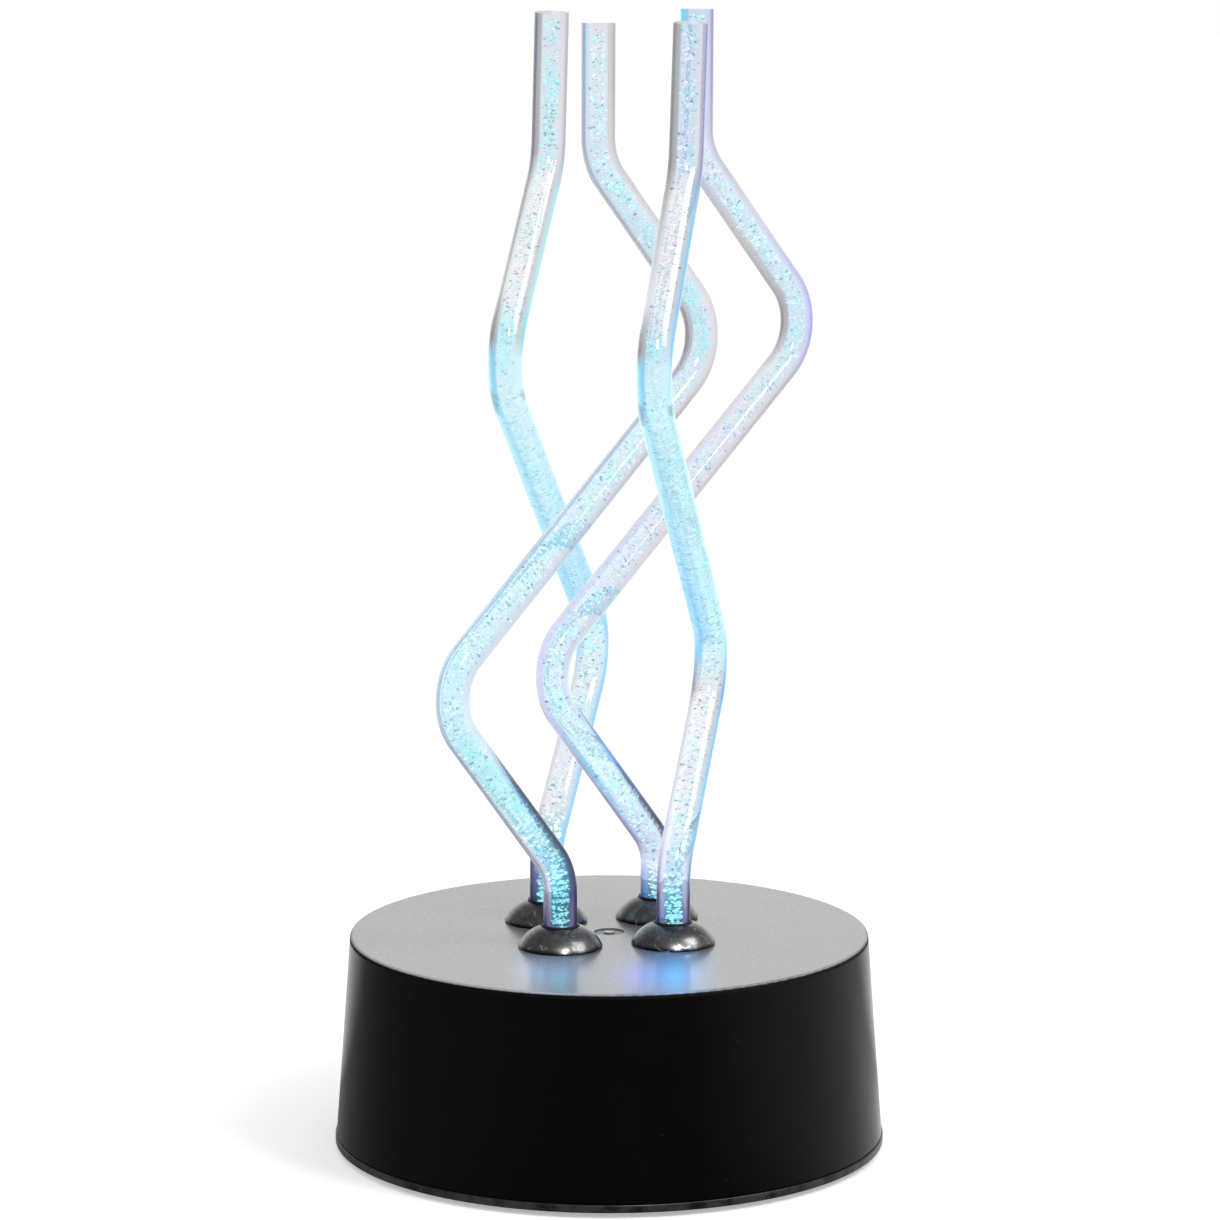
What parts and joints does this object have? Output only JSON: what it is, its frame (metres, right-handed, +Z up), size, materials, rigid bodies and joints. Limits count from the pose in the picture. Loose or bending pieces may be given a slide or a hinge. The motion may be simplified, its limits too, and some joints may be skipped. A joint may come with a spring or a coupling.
{
  "type": "bubble rod lamp",
  "caption": "Battery table lamp: bent clear acrylic rods with bubble cores stand in dark chrome collars on a round black drum that lights them from below.",
  "frame": {"origin": "centre of the drum, on the plane that the rubber feet rest on", "axes": "+Z up; +Y to the back; +X to the right as seen from the front"},
  "size_m": [0.165, 0.165, 0.3395],
  "materials": {
    "housing_plastic": "satin black moulded plastic with a fine grain",
    "cover_plastic": "satin black moulded plastic",
    "door_plastic": "satin black moulded plastic",
    "foot_rubber": "matte black rubber",
    "rod_acrylic": "clear polished acrylic with a core of fine bubbles",
    "sleeve_rubber": "black rubber",
    "collar_chrome": "dark chrome plating",
    "led_lens": "clear epoxy",
    "tinned_lead": "tinned",
    "board_laminate": "green solder mask",
    "chip_epoxy": "moulded epoxy",
    "resistor_body": "glazed chip resistor",
    "cell_jacket": "plain film over a drawn can",
    "contact_plate": "nickel-plated",
    "spring_steel": "nickel-plated spring wire",
    "switch_metal": "zinc-plated",
    "switch_wafer": "phenolic board",
    "knob_plastic": "black plastic",
    "screw_steel": "dark zinc-plated",
    "wire_red": "insulated stranded wire",
    "wire_black": "insulated stranded wire"
  },
  "bodies": {
    "root": {"board_screws": "screw_steel", "bottom_cover": "cover_plastic", "case_screws": "screw_steel", "cell_left": "cell_jacket", "cell_middle": "cell_jacket", "cell_right": "cell_jacket", "collar_back_left": "collar_chrome", "collar_back_right": "collar_chrome", "collar_front_left": "collar_chrome", "collar_front_right": "collar_chrome", "contact_bridges": "contact_plate", "contact_negative": "contact_plate", "contact_positive": "contact_plate", "contact_spring_left": "spring_steel", "contact_spring_middle": "spring_steel", "contact_spring_right": "spring_steel", "controller_chip": "chip_epoxy", "foot_1": "foot_rubber", "foot_2": "foot_rubber", "foot_3": "foot_rubber", "foot_4": "foot_rubber", "housing": "housing_plastic", "led_back_left": "led_lens", "led_back_right": "led_lens", "led_board": "board_laminate", "led_front_left": "led_lens", "led_front_right": "led_lens", "led_leads": "tinned_lead", "resistors": "resistor_body", "rod_back_left": "rod_acrylic", "rod_back_right": "rod_acrylic", "rod_front_left": "rod_acrylic", "rod_front_right": "rod_acrylic", "rod_sleeve_back_left": "sleeve_rubber", "rod_sleeve_back_right": "sleeve_rubber", "rod_sleeve_front_left": "sleeve_rubber", "rod_sleeve_front_right": "sleeve_rubber", "switch_base": "switch_wafer", "switch_frame": "switch_metal", "switch_screws": "screw_steel", "wire_negative": "wire_black", "wire_positive": "wire_red", "wire_switch": "wire_red"},
    "battery_door": {"battery_door": "door_plastic", "door_screw": "screw_steel"},
    "switch_knob": {"switch_knob": "knob_plastic"}
  },
  "joints": [
    {"name": "battery_door_hinge", "type": "hinge", "parent": "root", "child": "battery_door", "pos_m": [-0.02455, 0, 0.0015], "axis": [0, 1, 0], "range_deg": [0, 50]},
    {"name": "switch_slide", "type": "slide", "parent": "root", "child": "switch_knob", "axis": [-1, 0, 0], "range_m": [0, 0.0035]}
  ]
}
